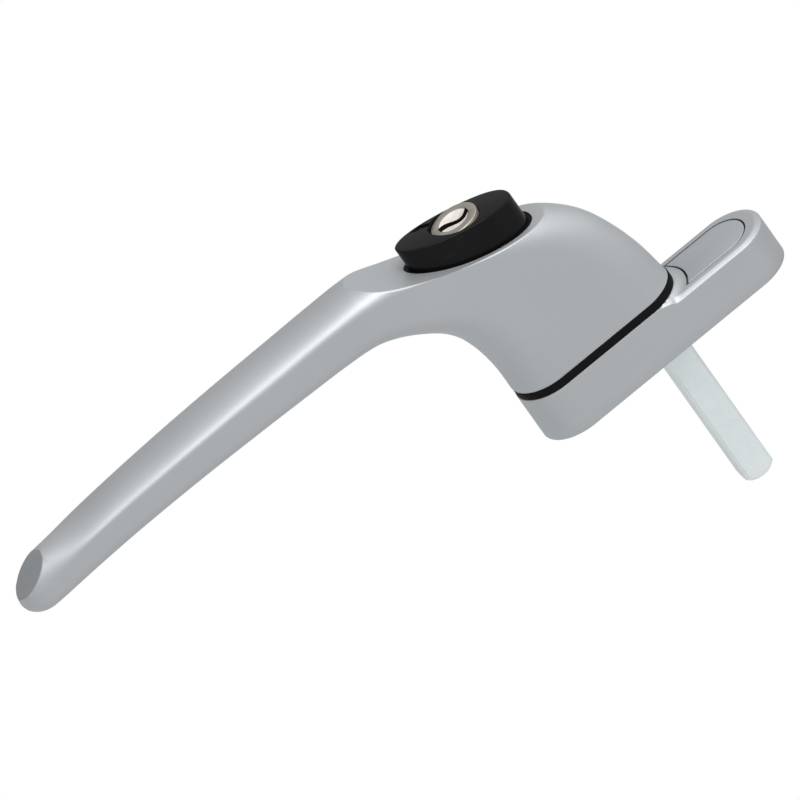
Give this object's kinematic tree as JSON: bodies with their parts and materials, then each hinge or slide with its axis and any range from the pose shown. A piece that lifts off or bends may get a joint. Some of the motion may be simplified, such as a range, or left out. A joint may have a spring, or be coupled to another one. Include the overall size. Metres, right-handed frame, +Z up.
{
  "type": "tilt turn handle",
  "caption": "Painted lever handle for a tilt-and-turn window, with a locking push button, an oblong base with a screw cover, and a square spindle.",
  "frame": {"origin": "on the spindle's axis, at the mounting face that rests on the sash", "axes": "+Z up along the base, +Y into the sash along the spindle, +X to the right seen from the room; the closed lever points to -Z"},
  "size_m": [0.018, 0.0983, 0.1774],
  "materials": {
    "silver_paint": "satin silver powder coat",
    "cover_paint": "satin silver powder coat, slightly cooler",
    "black_plastic": "matt black moulding",
    "button_gloss": "gloss black moulding",
    "satin_nickel": "satin nickel plate",
    "zinc_plate": "bright zinc plate",
    "spring_steel": "plain steel",
    "lock_brass": "plain brass"
  },
  "bodies": {
    "base": {"base_housing": "silver_paint", "screw_cover": "cover_paint", "bearing_gasket": "black_plastic", "keeper_bush": "spring_steel", "detent_springs": "spring_steel", "backing_plate": "zinc_plate", "plate_screws": "zinc_plate"},
    "handle": {"lever": "silver_paint", "spindle": "zinc_plate", "spindle_pin": "spring_steel", "thrust_washer": "spring_steel", "index_rotor": "zinc_plate", "spindle_clip": "spring_steel", "button_bezel": "black_plastic", "catch_ring": "spring_steel", "button_stop_pin": "spring_steel", "button_spring": "spring_steel"},
    "button": {"lock_button": "button_gloss", "lock_sleeve": "lock_brass", "locking_bolt": "zinc_plate"},
    "plug": {"key_plug": "satin_nickel", "wafers": "lock_brass", "wafer_springs": "spring_steel", "lock_cam": "spring_steel", "cam_screw": "zinc_plate"}
  },
  "joints": [
    {"name": "handle_turn", "type": "hinge", "parent": "base", "child": "handle", "pos_m": [0, 0, 0], "axis": [0, -1, 0], "range_deg": [0, 180], "deforming": ["detent_springs"]},
    {"name": "button_push", "type": "slide", "parent": "handle", "child": "button", "axis": [0, 1, 0], "range_m": [0, 0.0045], "stiffness_N_per_m": 400, "springref_m": -0.004, "deforming": ["button_spring"]},
    {"name": "plug_turn", "type": "hinge", "parent": "button", "child": "plug", "pos_m": [0, -0.05, -0.0224], "axis": [0, 1, 0], "range_deg": [0, 90]}
  ]
}
